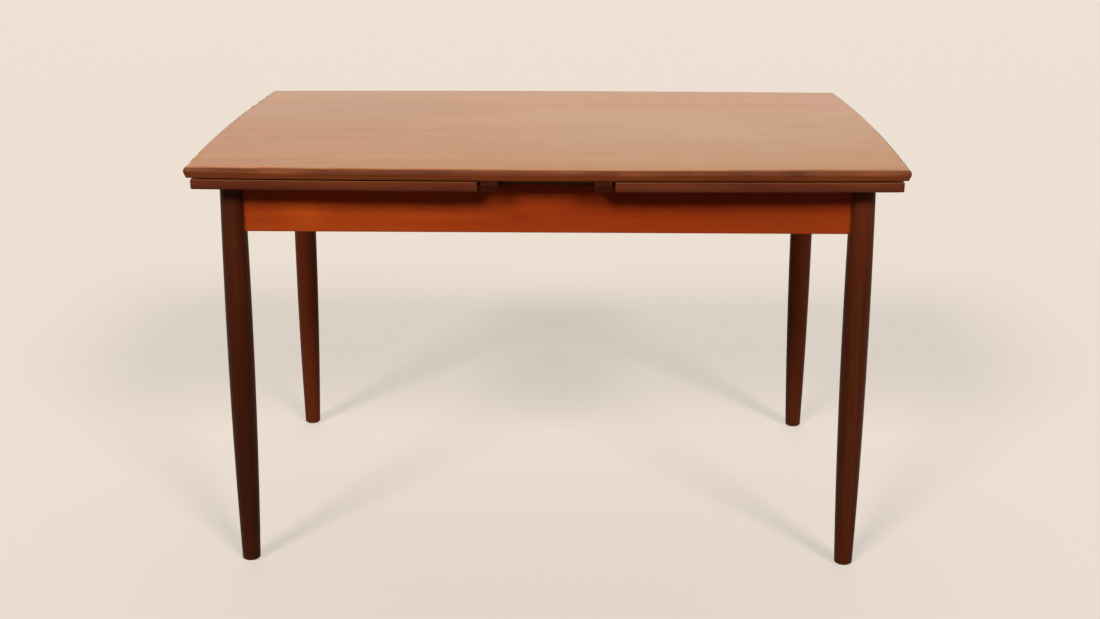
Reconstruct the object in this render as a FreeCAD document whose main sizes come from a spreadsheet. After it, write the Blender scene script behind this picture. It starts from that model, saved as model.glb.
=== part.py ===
import FreeCAD, Part
import math
import os
import types
import Sketcher

# Draw-leaf dining table, millimetres, +Z up, length along X, origin on the floor under the middle.
# A loose top lies over two leaves. Each leaf is fixed to two long bearers that slide through
# notches in the end apron and under the cross rails, so it pulls out level at its stored height.

# Every driving size, one cell each in the sheet
sizes = {
    # Whole table
    "table_height": 730,
    "top_length": 1220,
    "top_width": 870,
    "end_bow": 11,
    "side_bow": 12,
    # Loose top
    "top_thickness": 19,
    "top_lipping_width": 14,
    "top_corner_round": 6,
    "top_arris": 8,
    "top_edge_flat": 2,
    "top_undercut": 4,
    # Guide pegs under the top
    "peg_radius": 6,
    "peg_seat": 11,
    "peg_drop": 30,
    "peg_play": 0.4,
    "peg_notch_gap": 87.5,
    # Leaves
    "leaf_thickness": 16,
    "leaf_gap": 3.5,
    "leaf_end_inset": 10,
    "leaf_side_inset": 4.5,
    "leaf_lipping_width": 14,
    "leaf_corner_round": 4,
    "leaf_arris": 1.2,
    "leaf_under_arris": 2.5,
    "leaf_rail_gap": 5,
    "joint_gap": 1,
    # Aprons
    "apron_height": 82.5,
    "apron_thickness": 20,
    "apron_proud": 6,
    "apron_arris": 1.5,
    "leaf_play": 1,
    "felt_thickness": 0.7,
    "felt_width": 12,
    "felt_end_inset": 40,
    # Cross rails
    "rail_offset": 94,
    "rail_width": 28,
    "rail_depth": 40,
    "rail_end_inset": 6,
    "rail_end_bevel": 7,
    "rail_end_bevel_rise": 12,
    "rail_fit": 0.5,
    "pad_thickness": 1,
    "pad_radius": 10,
    "pad_screw_gap": 35,
    # Bearers
    "bearer_height": 34,
    "bearer_thickness": 22,
    "bearer_relief": 2,
    "bearer_play": 0.5,
    "bearer_block_gap": 14,
    "bearer_pass_gap": 8,
    "bearer_end_inset": 25,
    "bearer_relief_run": 25,
    "bearer_bevel": 16,
    "bearer_tail": 20,
    "bearer_tail_bevel": 10,
    "stop_radius": 4,
    "stop_drop": 12,
    "stop_seat": 18,
    "stop_gap": 0.5,
    # Legs
    "leg_end_inset": 78.5,
    "leg_side_inset": 76,
    "leg_head_radius": 21,
    "leg_swell": 1.8,
    "leg_foot_radius": 15.9,
    "leg_belly_height": 430,
    "leg_flat_offset": 18,
    "leg_foot_bevel": 2,
    # Glides under the legs
    "glide_radius": 11,
    "glide_face_radius": 8,
    "glide_height": 3.5,
    "glide_rim": 1.3,
    "nail_radius": 1.3,
    "nail_length": 15,
    # Corner blocks
    "block_reach": 65,
    "block_nose": 12,
    "block_height": 60,
    "block_screw_reach": 35,
    "block_screw_rise": 16,
    # Hanger bolts, washers and nuts
    "bolt_radius": 4,
    "bolt_bite": 7,
    "bolt_tail": 5,
    "bolt_clearance": 0.5,
    "washer_radius": 11,
    "washer_thickness": 1.6,
    "nut_circumradius": 7.5,
    "nut_height": 6.5,
    # Wood screws
    "screw_length": 40,
    "screw_radius": 2,
    "screw_head_radius": 4,
    "screw_head_height": 3,
    "screw_tip": 5,
    "apron_screw_skin": 8,
    "leaf_screw_skin": 5,
    # How much wider a hole is than what is in it, and what tools run past a surface
    "hole_fit": 0.05,
    "overrun": 10,
}
bearerScrewShares = (0.12, 0.5, 0.88)


class Size:
    """A size that holds its number and the text that binds it to the sheet."""

    def __init__(self, value, text):
        self.value = float(value)
        self.text = text

    def __add__(self, other):
        other = asSize(other)
        return Size(self.value + other.value, "(%s + %s)" % (self.text, other.text))

    def __sub__(self, other):
        other = asSize(other)
        return Size(self.value - other.value, "(%s - %s)" % (self.text, other.text))

    def __mul__(self, other):
        other = asSize(other)
        return Size(self.value * other.value, "(%s * %s)" % (self.text, other.text))

    def __truediv__(self, other):
        other = asSize(other)
        return Size(self.value / other.value, "(%s / %s)" % (self.text, other.text))

    def __neg__(self):
        return Size(-self.value, "(0 - %s)" % self.text)

    def root(self):
        return Size(math.sqrt(self.value), "sqrt(%s)" % self.text)


def asSize(value):
    """A plain number becomes a Size, a Size stays as it is."""
    return value if isinstance(value, Size) else Size(value, "%.12g" % value)


doc = FreeCAD.newDocument("DiningTable")
sheet = doc.addObject("Spreadsheet::Sheet", "Sizes")
for row, (word, number) in enumerate(sizes.items(), 1):
    sheet.set("A%d" % row, word)
    sheet.set("B%d" % row, str(number))
    sheet.setAlias("B%d" % row, word)
doc.recompute()
s = types.SimpleNamespace(**{word: Size(number, "Sizes." + word) for word, number in sizes.items()})

zero = asSize(0)
along = {"+X": FreeCAD.Vector(1, 0, 0), "-X": FreeCAD.Vector(-1, 0, 0),
         "+Y": FreeCAD.Vector(0, 1, 0), "-Y": FreeCAD.Vector(0, -1, 0),
         "+Z": FreeCAD.Vector(0, 0, 1), "-Z": FreeCAD.Vector(0, 0, -1),
         "diagonal": FreeCAD.Vector(math.sqrt(0.5), math.sqrt(0.5), 0)}
parts = []
cuts = []


# Helpers for placing, sketching, padding and drilling

def bind(thing, prop, size):
    thing.setExpression(prop, asSize(size).text)


def place(thing, x=zero, y=zero, z=zero, turn=0, tilt=None):
    """Turn a piece about Z, after tilting its own Z to a direction, and bind where it stands."""
    rotation = FreeCAD.Rotation(along["+Z"], turn)
    if tilt is not None:
        rotation = rotation.multiply(FreeCAD.Rotation(along["+Z"], tilt))
    thing.Placement = FreeCAD.Placement(FreeCAD.Vector(), rotation)
    for axis, size in zip("xyz", (x, y, z)):
        bind(thing, "Placement.Base." + axis, size)


def keep(thing, label):
    """Name a finished sub-part, whose label is its file's name."""
    thing.Label = label
    parts.append(thing)
    return thing


def newBody(name):
    return doc.addObject("PartDesign::Body", name)


def arcThrough(start, end, radius, bulge):
    """Arc from start to end that bulges to the right of the way there (+1), or to the left (-1)."""
    chord = end - start
    middle = (start + end) / 2
    left = FreeCAD.Vector(-chord.y, chord.x, 0).normalize()
    centre = middle + left * bulge * math.sqrt(radius ** 2 - (chord.Length / 2) ** 2)
    first, last = (start, end) if bulge > 0 else (end, start)
    angles = [math.atan2(p.y - centre.y, p.x - centre.x) for p in (first, last)]
    return Part.ArcOfCircle(Part.Circle(centre, along["+Z"], radius), *angles)


def sketchOutline(body, role, offset, corners, arcs=None):
    """Closed outline, anticlockwise, on one of the body's own planes, moved along its normal.

    Each corner is pinned by two sizes. arcs gives, for a side's number, its radius and its bulge.
    """
    arcs = arcs or {}
    sketch = body.newObject("Sketcher::SketchObject", body.Name + "Outline")
    plane = next(f for f in body.Origin.OriginFeatures if f.Role == role)
    sketch.AttachmentSupport = [(plane, "")]
    sketch.MapMode = "FlatFace"
    bind(sketch, "AttachmentOffset.Base.z", offset)
    corners = [(asSize(x), asSize(y)) for x, y in corners]
    points = [FreeCAD.Vector(x.value, y.value, 0) for x, y in corners]
    ends = []
    for side, start in enumerate(points):
        end = points[(side + 1) % len(points)]
        if side in arcs:
            radius, bulge = arcs[side]
            line = sketch.addGeometry(arcThrough(start, end, radius.value, bulge), False)
            pinned = sketch.addConstraint(Sketcher.Constraint("Radius", line, radius.value))
            bind(sketch, "Constraints[%d]" % pinned, radius)
            ends.append((line, 1, 2) if bulge > 0 else (line, 2, 1))
        else:
            ends.append((sketch.addGeometry(Part.LineSegment(start, end), False), 1, 2))
    for side, (line, first, last) in enumerate(ends):
        following = ends[(side + 1) % len(ends)]
        sketch.addConstraint(Sketcher.Constraint("Coincident", line, last, following[0], following[1]))
        for kind, size in zip(("DistanceX", "DistanceY"), corners[side]):
            pinned = sketch.addConstraint(Sketcher.Constraint(kind, line, first, size.value))
            bind(sketch, "Constraints[%d]" % pinned, size)
    return sketch


def pad(body, sketch, length):
    feature = body.newObject("PartDesign::Pad", body.Name + "Pad")
    feature.Profile = sketch
    bind(feature, "Length", length)
    return feature


def revolve(body, sketch):
    """Turn a profile right round the sketch's own upright axis."""
    feature = body.newObject("PartDesign::Revolution", body.Name + "Turning")
    feature.Profile = sketch
    feature.ReferenceAxis = (sketch, ["V_Axis"])
    return feature


def drill(body, radius, depth, start, direction):
    """Round hole from start, along a direction, in the body's own frame."""
    before = body.Tip
    hole = body.newObject("PartDesign::SubtractiveCylinder", body.Name + "Hole")
    bind(hole, "Radius", radius)
    bind(hole, "Height", depth)
    place(hole, *start, tilt=along[direction])
    cuts.append((before, hole))
    return hole


def screwHole(body, start, direction, headed):
    """Hole for a wood screw whose head's face is at start, with room for the head where it's asked."""
    drill(body, s.screw_radius + s.hole_fit, s.screw_length + s.hole_fit, start, direction)
    if headed:
        way = along[direction]
        back = [at - s.overrun * share for at, share in zip(start, way)]
        recess = s.overrun + s.screw_head_height + s.hole_fit
        drill(body, s.screw_head_radius + s.hole_fit, recess, back, direction)


def groupOf(label, members, turn=0):
    """Several separate solids of one kind as one sub-part."""
    group = doc.addObject("Part::Compound", label)
    group.Links = members
    place(group, turn=turn)
    return keep(group, label)


def copyAt(original, x, y, z, turn=0, tilt=None):
    copy = doc.addObject("App::Link", original.Name + "Copy")
    copy.LinkedObject = original
    place(copy, x, y, z, turn, tilt)
    return copy


# Heights and lines that more than one piece follows

topUnder = s.table_height - s.top_thickness
leafTop = topUnder - s.leaf_gap
leafUnder = leafTop - s.leaf_thickness
apronTop = leafUnder - s.leaf_play
apronUnder = apronTop - s.apron_height
apronMiddle = apronTop - s.apron_height / 2
cornerX = s.top_length / 2 - s.end_bow
cornerY = s.top_width / 2 - s.side_bow
endRadius = (cornerY * cornerY + s.end_bow * s.end_bow) / (s.end_bow * 2)
sideRadius = (cornerX * cornerX + s.side_bow * s.side_bow) / (s.side_bow * 2)
legX = s.top_length / 2 - s.leg_end_inset
legY = s.top_width / 2 - s.leg_side_inset
legBellyRadius = s.leg_head_radius + s.leg_swell
railOuterX = s.rail_offset + s.rail_width / 2
railInnerX = s.rail_offset - s.rail_width / 2
railTop = topUnder - s.pad_thickness
railUnder = railTop - s.rail_depth
leafOuterX = cornerX - s.leaf_end_inset
leafInnerX = railOuterX + s.leaf_rail_gap
leafTravel = cornerX + s.joint_gap - leafInnerX
apronLongHalf = legX - s.leg_flat_offset
apronShortHalf = legY - s.leg_flat_offset
apronInset = s.apron_thickness - s.apron_proud
apronInnerX = legX - apronInset
apronInnerY = legY - apronInset
apronMiddleY = apronInnerY + s.apron_thickness / 2
blockScrewStart = s.screw_length - s.apron_thickness + s.apron_screw_skin
bearerUnder = leafUnder - s.bearer_height
bearerTailTop = leafUnder - s.bearer_relief
rearBearerY = apronInnerY - s.block_reach - s.bearer_block_gap - s.bearer_thickness / 2
frontBearerY = -(rearBearerY - s.bearer_thickness - s.bearer_pass_gap)
bearerYs = (frontBearerY, rearBearerY)
bearerOuterX = leafOuterX - s.bearer_end_inset
bearerScrewXs = [-(leafInnerX + (bearerOuterX - leafInnerX) * share) for share in bearerScrewShares]
bearerScrewZ = leafTop - s.leaf_screw_skin - s.screw_length
notchReach = s.bearer_thickness / 2 + s.bearer_play
pegY = -frontBearerY - notchReach - s.peg_notch_gap - s.peg_radius
padY = apronMiddleY - s.pad_screw_gap
# A turn of 0, 90, 180 and 270 degrees takes the front left corner to the other corners
cornerPlaces = (("front_left", -legX, -legY, 0), ("front_right", legX, -legY, 90),
                ("rear_right", legX, legY, 180), ("rear_left", -legX, legY, 270))
# The left half's pieces, turned half round, are the right half's
halves = (("left", 0), ("right", 180))


def sideLine(x, inset):
    """How far from the middle the bowed long side lies at x, drawn in by an inset."""
    radius = sideRadius - inset
    return (radius * radius - x * x).root() - (sideRadius - s.top_width / 2)


# Boards that are glued up, moulded all round, and then told apart as panel and lippings

def mouldedBoard(name, corners, arcs, bottom, thickness, cornerRound):
    """Plain board with rounded corners seen from above. Its arrises are moulded by its caller."""
    body = newBody(name)
    base = pad(body, sketchOutline(body, "XY_Plane", bottom, corners, arcs), thickness)
    doc.recompute()
    upright = []
    for number, edge in enumerate(base.Shape.Edges, 1):
        low, high = sorted(vertex.Z for vertex in edge.Vertexes)
        if high - low > thickness.value / 2:
            upright.append("Edge%d" % number)
    rounding = body.newObject("PartDesign::Fillet", name + "Corners")
    rounding.Base = (base, upright)
    bind(rounding, "Radius", cornerRound)
    doc.recompute()
    return body


def flatFace(shape, height):
    """Name of the level face at a height."""
    gaps = [abs(face.CenterOfMass.z - height.value) for face in shape.Faces]
    return "Face%d" % (gaps.index(min(gaps)) + 1)


def roundFace(body, height, radius):
    """Round the whole rim of a level face."""
    base = body.Tip
    rounding = body.newObject("PartDesign::Fillet", body.Name + "Arris")
    rounding.Base = (base, [flatFace(base.Shape, height)])
    bind(rounding, "Radius", radius)
    doc.recompute()


def undercutFace(body, height, inwards, upwards):
    """Bevel the whole rim of a level face, by unlike distances along it and up the edge."""
    base = body.Tip
    bevel = body.newObject("PartDesign::Chamfer", body.Name + "Undercut")
    bevel.Base = (base, [flatFace(base.Shape, height)])
    bevel.ChamferType = "Two distances"
    bind(bevel, "Size", upwards)
    bind(bevel, "Size2", inwards)
    doc.recompute()


def zoneOf(name, corners, arcs, bottom, thickness):
    """Upright block, taller than the board, that marks out one piece of it."""
    body = newBody(name)
    sketch = sketchOutline(body, "XY_Plane", bottom - s.overrun, corners, arcs)
    pad(body, sketch, thickness + s.overrun * 2)
    return body


def pieceOf(board, zone, label, turn=0):
    piece = doc.addObject("Part::Common", label)
    piece.Base = board
    piece.Tool = zone
    place(piece, turn=turn)
    return keep(piece, label)


def ringZones(name, corners, outer, width, bottom, thickness):
    """Zones of a panel and its four mitred lippings, each as wide as asked.

    corners and outer give the board's corners and its sides' arcs.
    """
    inner = {side: (radius - width * bulge, bulge) for side, (radius, bulge) in outer.items()}
    inwards = ((1, 1), (-1, 1), (-1, -1), (1, -1))
    innerCorners = [(x + width * across, y + width * up) for (x, y), (across, up) in zip(corners, inwards)]
    beyond = s.overrun + s.end_bow + s.side_bow
    reach = [(x - beyond * across, y - beyond * up) for (x, y), (across, up) in zip(corners, inwards)]
    zones = {"panel": zoneOf(name + "PanelZone", innerCorners, inner, bottom, thickness)}
    for side, word in enumerate(("front", "right", "rear", "left")):
        nextSide = (side + 1) % len(corners)
        outline = (reach[side], reach[nextSide], innerCorners[nextSide], innerCorners[side])
        radius, bulge = inner[side]
        zones[word] = zoneOf(name + word.capitalize() + "Zone", outline, {2: (radius, -bulge)},
                             bottom, thickness)
    return zones


# Loose top

def makeTop():
    corners = ((-cornerX, -cornerY), (cornerX, -cornerY), (cornerX, cornerY), (-cornerX, cornerY))
    outer = {0: (sideRadius, 1), 1: (endRadius, 1), 2: (sideRadius, 1), 3: (endRadius, 1)}
    board = mouldedBoard("TopBoard", corners, outer, topUnder, s.top_thickness, s.top_corner_round)
    roundFace(board, s.table_height, s.top_arris)
    undercutFace(board, topUnder, s.top_undercut, s.top_thickness - s.top_arris - s.top_edge_flat)
    for x in (-s.rail_offset, s.rail_offset):
        for y in (-pegY, pegY):
            drill(board, s.peg_radius + s.hole_fit, s.peg_seat, (x, y, topUnder), "+Z")
    zones = ringZones("Top", corners, outer, s.top_lipping_width, topUnder, s.top_thickness)
    pieceOf(board, zones.pop("panel"), "top_panel")
    for word, zone in zones.items():
        pieceOf(board, zone, "top_%s_lipping" % word)


def makeGuidePegs():
    pegs = []
    for x in (-s.rail_offset, s.rail_offset):
        for y in (-pegY, pegY):
            peg = doc.addObject("Part::Cylinder", "GuidePeg")
            bind(peg, "Radius", s.peg_radius)
            bind(peg, "Height", s.peg_seat + s.peg_drop)
            place(peg, x, y, topUnder - s.peg_drop)
            pegs.append(peg)
    groupOf("top_guide_pegs", pegs)


# Leaves, drawn for the left end and turned half round for the right end

def makeLeaves():
    outerY = sideLine(leafOuterX, s.leaf_side_inset)
    innerY = sideLine(leafInnerX, s.leaf_side_inset)
    corners = ((-leafOuterX, -outerY), (-leafInnerX, -innerY), (-leafInnerX, innerY), (-leafOuterX, outerY))
    sideways = sideRadius - s.leaf_side_inset
    outer = {0: (sideways, 1), 1: (endRadius + s.joint_gap, -1), 2: (sideways, 1),
             3: (endRadius - s.leaf_end_inset, 1)}
    board = mouldedBoard("LeafBoard", corners, outer, leafUnder, s.leaf_thickness, s.leaf_corner_round)
    roundFace(board, leafTop, s.leaf_arris)
    roundFace(board, leafUnder, s.leaf_under_arris)
    for y in bearerYs:
        for x in bearerScrewXs:
            screwHole(board, (x, y, bearerScrewZ), "+Z", False)
    zones = ringZones("Leaf", corners, outer, s.leaf_lipping_width, leafUnder, s.leaf_thickness)
    # Seen from the leaf, its left side is the outer end and its right side the inner end
    words = {"panel": "panel", "front": "front_lipping", "right": "inner_lipping",
             "rear": "rear_lipping", "left": "outer_lipping"}
    for side, turn in halves:
        for own, zone in zones.items():
            word = words[own]
            if turn and word in ("front_lipping", "rear_lipping"):
                word = "rear_lipping" if word == "front_lipping" else "front_lipping"
            pieceOf(board, zone, "%s_leaf_%s" % (side, word), turn)


def makeBearer(label, y, turn):
    """Long runner under a leaf, a little lower past the leaf's inner edge, where the rails lie."""
    body = newBody(label)
    tail = leafTravel - railInnerX + s.bearer_tail
    step = leafInnerX + s.bearer_relief_run
    outline = ((s.bearer_bevel - bearerOuterX, bearerUnder),
               (tail, bearerUnder),
               (tail, bearerTailTop - s.bearer_tail_bevel),
               (tail - s.bearer_tail_bevel, bearerTailTop),
               (-leafInnerX, bearerTailTop),
               (-step, leafUnder),
               (-bearerOuterX, leafUnder),
               (-bearerOuterX, bearerUnder + s.bearer_bevel))
    sketch = sketchOutline(body, "XZ_Plane", -(y + s.bearer_thickness / 2), outline)
    pad(body, sketch, s.bearer_thickness)
    doc.recompute()
    drill(body, s.stop_radius + s.hole_fit, s.stop_seat, (stopX(), y, bearerUnder), "+Z")
    for x in bearerScrewXs:
        screwHole(body, (x, y, bearerScrewZ), "+Z", True)
    place(body, turn=turn)
    keep(body, label)


def stopX():
    """Where a stop peg stands at rest, so that it meets the end apron when the leaf is right out."""
    return leafTravel - (apronInnerX - s.stop_radius - s.stop_gap)


def makeStops(label, turn):
    stops = []
    for y in bearerYs:
        stop = doc.addObject("Part::Cylinder", "StopPeg")
        bind(stop, "Radius", s.stop_radius)
        bind(stop, "Height", s.stop_drop + s.stop_seat)
        place(stop, stopX(), y, bearerUnder - s.stop_drop)
        stops.append(stop)
    groupOf(label, stops, turn)


def makeBearers(screw):
    for side, turn in halves:
        # Turned half round, the bearer at the front comes to lie at the rear
        words = ("front", "rear") if turn == 0 else ("rear", "front")
        for word, y in zip(words, bearerYs):
            makeBearer("%s_leaf_%s_bearer" % (side, word), y, turn)
        makeStops("%s_leaf_stop_pegs" % side, turn)
        screws = []
        for y in bearerYs:
            for x in bearerScrewXs:
                screws.append(copyAt(screw, x, y, bearerScrewZ, tilt=along["-Z"]))
        groupOf("%s_leaf_bearer_screws" % side, screws, turn)


# Under-frame

def makeLongApron(label, turn):
    """Front apron, between the flats of two legs. Turned half round, it is the rear one."""
    body = newBody(label)
    outerY = apronInnerY + s.apron_thickness
    outline = ((-apronLongHalf, -outerY), (apronLongHalf, -outerY),
               (apronLongHalf, -apronInnerY), (-apronLongHalf, -apronInnerY))
    pad(body, sketchOutline(body, "XY_Plane", apronUnder, outline), s.apron_height)
    easeUnder(body)
    apronHoles(body, False)
    for x in (-s.rail_offset, s.rail_offset):
        screwHole(body, (x, -apronMiddleY, railTop), "-Z", False)
    place(body, turn=turn)
    keep(body, label)


def makeShortApron(label, turn):
    """Left end apron, with two notches for the left leaf's bearers. Turned, it is the right one."""
    body = newBody(label)
    half = apronShortHalf
    floor = bearerUnder - s.bearer_play
    outline = [(-half, apronUnder), (half, apronUnder), (half, apronTop)]
    for y in (rearBearerY, frontBearerY):
        outline += [(y + notchReach, apronTop), (y + notchReach, floor),
                    (y - notchReach, floor), (y - notchReach, apronTop)]
    outline.append((-half, apronTop))
    outerX = apronInnerX + s.apron_thickness
    pad(body, sketchOutline(body, "YZ_Plane", -outerX, outline), s.apron_thickness)
    easeUnder(body)
    apronHoles(body, True)
    place(body, turn=turn)
    keep(body, label)


def easeUnder(body):
    """Round the two long lower arrises of an apron."""
    doc.recompute()
    base = body.Tip
    lower = ["Edge%d" % number for number, edge in enumerate(base.Shape.Edges, 1)
             if edge.BoundBox.ZMax < apronMiddle.value and edge.Length > s.apron_height.value]
    rounding = body.newObject("PartDesign::Fillet", body.Name + "Arris")
    rounding.Base = (base, lower)
    bind(rounding, "Radius", s.apron_arris)
    doc.recompute()


def apronHoles(body, short):
    """Pilot holes for the corner blocks' screws, and the hanger bolts' way past the apron's ends."""
    for side in (-1, 1):
        for rise in (-s.block_screw_rise, s.block_screw_rise):
            z = apronMiddle + rise
            if short:
                start = (-apronInnerX + blockScrewStart, (apronInnerY - s.block_screw_reach) * side, z)
                screwHole(body, start, "-X", False)
            else:
                start = ((apronInnerX - s.block_screw_reach) * side, -apronInnerY + blockScrewStart, z)
                screwHole(body, start, "-Y", False)
    for sideX, sideY, turn in ((-1, -1, 45), (-1, 1, -45)) if short else ((-1, -1, 45), (1, -1, 135)):
        before = body.Tip
        hole = body.newObject("PartDesign::SubtractiveCylinder", body.Name + "BoltWay")
        bind(hole, "Radius", s.bolt_radius + s.bolt_clearance)
        bind(hole, "Height", s.block_reach)
        place(hole, legX * sideX, legY * sideY, apronMiddle, turn, along["+X"])
        cuts.append((before, hole))


def makeLeg(label, x, y, turn):
    """Round leg, fullest a third of the way down, with two flats at its head where the aprons butt."""
    body = newBody(label)
    foot = s.glide_height
    fullness = legBellyRadius - s.leg_foot_radius
    drop = s.leg_belly_height - foot - s.leg_foot_bevel
    lowerRadius = (drop * drop + fullness * fullness) / (fullness * 2)
    rise = apronTop - s.leg_belly_height
    upperRadius = (rise * rise + s.leg_swell * s.leg_swell) / (s.leg_swell * 2)
    outline = ((zero, foot),
               (s.leg_foot_radius - s.leg_foot_bevel, foot),
               (s.leg_foot_radius, foot + s.leg_foot_bevel),
               (legBellyRadius, s.leg_belly_height),
               (s.leg_head_radius, apronTop),
               (zero, apronTop))
    profile = sketchOutline(body, "XZ_Plane", zero, outline, {2: (lowerRadius, 1), 3: (upperRadius, 1)})
    revolve(body, profile)
    doc.recompute()
    before = body.Tip
    wide = legBellyRadius + s.overrun
    flats = ((s.leg_flat_offset, -wide), (wide, -wide), (wide, wide), (-wide, wide),
             (-wide, s.leg_flat_offset), (s.leg_flat_offset, s.leg_flat_offset))
    pocket = body.newObject("PartDesign::Pocket", label + "Flats")
    pocket.Profile = sketchOutline(body, "XY_Plane", apronUnder, flats)
    pocket.Reversed = True
    bind(pocket, "Length", s.apron_height + s.overrun)
    cuts.append((before, pocket))
    doc.recompute()
    start = -s.bolt_bite * along["diagonal"].x
    drill(body, s.bolt_radius + s.hole_fit, legBellyRadius * 2, (start, start, apronMiddle), "diagonal")
    drill(body, s.nail_radius + s.hole_fit, s.nail_length, (zero, zero, foot), "+Z")
    place(body, x, y, turn=turn)
    keep(body, label)


def makeGlide(label, x, y):
    """Nail-on steel glide under a leg."""
    body = newBody(label)
    top = s.glide_height
    outline = ((zero, zero), (s.glide_face_radius, zero), (s.glide_radius, top - s.glide_rim),
               (s.glide_radius, top), (s.nail_radius, top),
               (s.nail_radius, top + s.nail_length - s.nail_radius * 2),
               (zero, top + s.nail_length - s.nail_radius))
    revolve(body, sketchOutline(body, "XZ_Plane", zero, outline))
    doc.recompute()
    place(body, x, y)
    keep(body, label)


def makeCornerBlock(label, x, y, turn):
    """Glue block across a corner, with a bolt hole through it and two screws into each apron."""
    body = newBody(label)
    near = apronInset
    bottom = apronMiddle - s.block_height / 2
    outline = ((near + s.block_nose, near), (near + s.block_reach, near),
               (near, near + s.block_reach), (near, near + s.block_nose))
    pad(body, sketchOutline(body, "XY_Plane", bottom, outline), s.block_height)
    doc.recompute()
    drill(body, s.bolt_radius + s.bolt_clearance, s.block_reach * 2, (zero, zero, apronMiddle), "diagonal")
    for rise in (-s.block_screw_rise, s.block_screw_rise):
        z = apronMiddle + rise
        far = near + s.block_screw_reach
        screwHole(body, (far, near + blockScrewStart, z), "-Y", True)
        screwHole(body, (near + blockScrewStart, far, z), "-X", True)
    place(body, x, y, turn=turn)
    keep(body, label)


def makeCrossRail(label, x):
    """Rail from front to rear on the long aprons, halved over them, with guide notches below."""
    body = newBody(label)
    roof = bearerTailTop + s.bearer_play
    between = apronInnerY - s.rail_fit
    end = s.top_width / 2 - s.rail_end_inset
    outline = []
    for y in (-rearBearerY, frontBearerY, -frontBearerY, rearBearerY):
        outline += [(y - notchReach, railUnder), (y - notchReach, roof),
                    (y + notchReach, roof), (y + notchReach, railUnder)]
    for side in (1, -1):
        half = [(between, railUnder), (between, apronTop), (end - s.rail_end_bevel, apronTop),
                (end, apronTop + s.rail_end_bevel_rise), (end, railTop)]
        outline += [(y * side, z) for y, z in half[::side]]
    sketch = sketchOutline(body, "YZ_Plane", x - s.rail_width / 2, outline)
    pad(body, sketch, s.rail_width)
    doc.recompute()
    for y in (-pegY, pegY):
        drill(body, s.peg_radius + s.peg_play, s.rail_depth + s.overrun, (x, y, railUnder), "+Z")
    for y in (-apronMiddleY, apronMiddleY):
        screwHole(body, (x, y, railTop), "-Z", True)
    keep(body, label)


def makeFelts():
    """Felt along the long aprons under the leaves, and pads on the cross rails under the top."""
    for label, side in (("front_felt_strips", -1), ("rear_felt_strips", 1)):
        strips = []
        for turn in (-1, 1):
            strip = doc.addObject("Part::Box", "FeltStrip")
            length = apronLongHalf - s.felt_end_inset - leafInnerX
            bind(strip, "Length", length)
            bind(strip, "Width", s.felt_width)
            bind(strip, "Height", s.felt_thickness)
            x = leafInnerX if turn > 0 else -leafInnerX - length
            place(strip, x, apronMiddleY * side - s.felt_width / 2, apronTop)
            strips.append(strip)
        groupOf(label, strips)
    pads = []
    for x in (-s.rail_offset, s.rail_offset):
        for y in (-padY, padY):
            disc = doc.addObject("Part::Cylinder", "FeltPad")
            bind(disc, "Radius", s.pad_radius)
            bind(disc, "Height", s.pad_thickness)
            place(disc, x, y, railTop)
            pads.append(disc)
    groupOf("rail_felt_pads", pads)


# Fasteners, each made once and copied to its places

def makeScrew():
    """Countersunk wood screw along +Z, its head's face at the origin and its tip below."""
    body = newBody("WoodScrew")
    shank = s.screw_radius
    outline = ((zero, -s.screw_length), (shank, s.screw_tip - s.screw_length),
               (shank, -s.screw_head_height), (s.screw_head_radius, zero), (zero, zero))
    revolve(body, sketchOutline(body, "XZ_Plane", zero, outline))
    return body


def makeCornerFasteners(screw):
    near = apronInset
    diagonal = along["diagonal"].x
    face = (near * 2 + s.block_reach) * diagonal
    boltLength = s.bolt_bite + face + s.washer_thickness + s.nut_height + s.bolt_tail
    bolt = doc.addObject("Part::Cylinder", "HangerBolt")
    bind(bolt, "Radius", s.bolt_radius)
    bind(bolt, "Height", boltLength)
    washer = ringOf("Washer", "Part::Cylinder", "Radius", s.washer_radius, s.washer_thickness)
    nut = ringOf("Nut", "Part::Prism", "Circumradius", s.nut_circumradius, s.nut_height)
    bolts, washers, nuts, screws = [], [], [], []
    for word, x, y, turn in cornerPlaces:
        heading = FreeCAD.Rotation(along["+Z"], turn)
        way = heading.multVec(along["diagonal"])
        for members, original, reach in ((bolts, bolt, -s.bolt_bite), (washers, washer, face),
                                         (nuts, nut, face + s.washer_thickness)):
            members.append(copyAt(original, x + reach * way.x, y + reach * way.y, apronMiddle, turn,
                                  along["diagonal"]))
        far = near + s.block_screw_reach
        start = near + blockScrewStart
        for rise in (-s.block_screw_rise, s.block_screw_rise):
            for own, tilt in (((far, start), along["+Y"]), ((start, far), along["+X"])):
                spot = turned(own, turn)
                screws.append(copyAt(screw, x + spot[0], y + spot[1], apronMiddle + rise, turn, tilt))
    groupOf("hanger_bolts", bolts)
    groupOf("bolt_washers", washers)
    groupOf("bolt_nuts", nuts)
    groupOf("corner_block_screws", screws)


def turned(spot, turn):
    """A corner's own x and y, turned by a number of quarter turns."""
    x, y = spot
    return {0: (x, y), 90: (-y, x), 180: (-x, -y), 270: (y, -x)}[turn]


def ringOf(name, kind, sizeWord, outside, height):
    """Disc or hexagon with a hole for the hanger bolt."""
    solid = doc.addObject(kind, name + "Blank")
    bind(solid, sizeWord, outside)
    bind(solid, "Height", height)
    bore = doc.addObject("Part::Cylinder", name + "Bore")
    bind(bore, "Radius", s.bolt_radius + s.hole_fit)
    bind(bore, "Height", height + s.overrun * 2)
    place(bore, z=-s.overrun)
    ring = doc.addObject("Part::Cut", name)
    ring.Base = solid
    ring.Tool = bore
    return ring


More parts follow.
